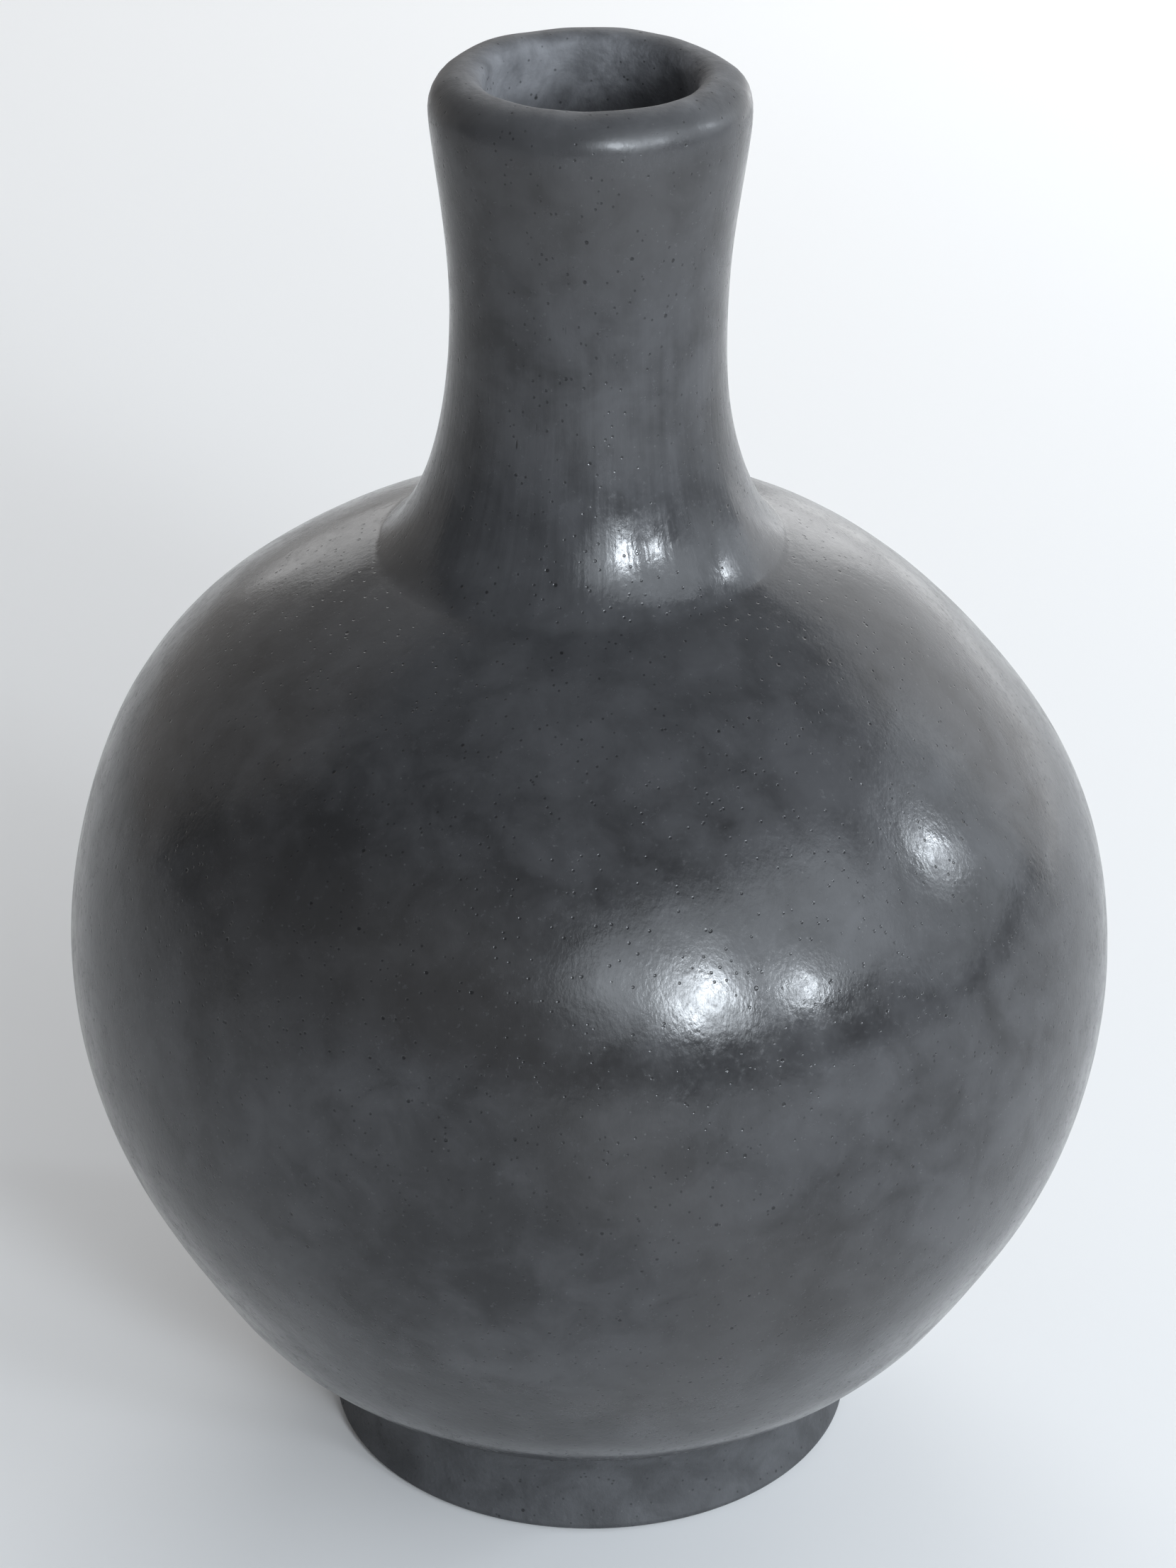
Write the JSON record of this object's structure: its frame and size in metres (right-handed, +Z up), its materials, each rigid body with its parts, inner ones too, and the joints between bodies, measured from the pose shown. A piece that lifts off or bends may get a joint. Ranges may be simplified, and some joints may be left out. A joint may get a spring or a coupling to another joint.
{
  "type": "bottle pot",
  "caption": "Round-bodied burnished black clay bottle pot on a low ring foot, with a slim waisted neck and a thick rolled lip.",
  "frame": {"origin": "centre of the foot's lower face, on the surface that the pot stands on", "axes": "+Z up along the pot's axis, through the mouth; the form is round, so X and Y are alike, and -Y is taken as the front"},
  "size_m": [0.142, 0.142, 0.2],
  "materials": {
    "burnished_clay": "burnished, soft gloss",
    "matte_clay": "unpolished, matte"
  },
  "bodies": {
    "root": {"foot_ring": "matte_clay", "base_disc": "matte_clay", "lower_body": "burnished_clay", "upper_body": "burnished_clay", "neck_collar": "burnished_clay", "neck": "burnished_clay", "rim_coil": "burnished_clay"}
  },
  "joints": []
}
